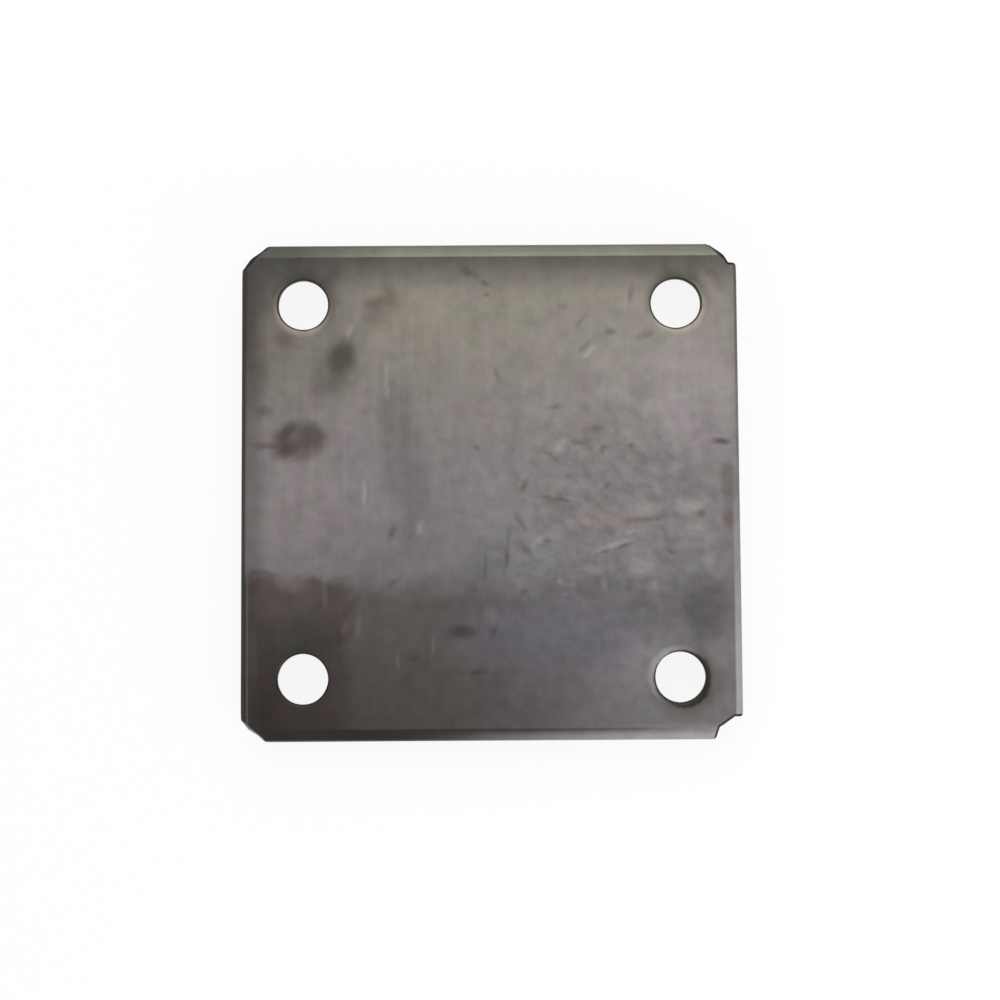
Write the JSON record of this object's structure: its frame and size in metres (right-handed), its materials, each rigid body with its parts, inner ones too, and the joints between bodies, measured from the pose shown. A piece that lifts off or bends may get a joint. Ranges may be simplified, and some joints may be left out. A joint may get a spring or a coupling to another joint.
{
  "type": "base plate",
  "caption": "Square base plate of bare steel sheet with short lips folded down along its edges, clipped corners and a bolt hole near each corner.",
  "frame": {"origin": "middle of the plate, in the plane of the lips' free edges", "axes": "+Z out of the face, +X towards the lip with square ends, +Y towards the top lip of the picture"},
  "size_m": [0.1, 0.1, 0.008],
  "materials": {
    "steel": "bare mill-finish sheet, dull, stained and lightly scratched"
  },
  "bodies": {
    "root": {"base_plate": "steel"}
  },
  "joints": []
}
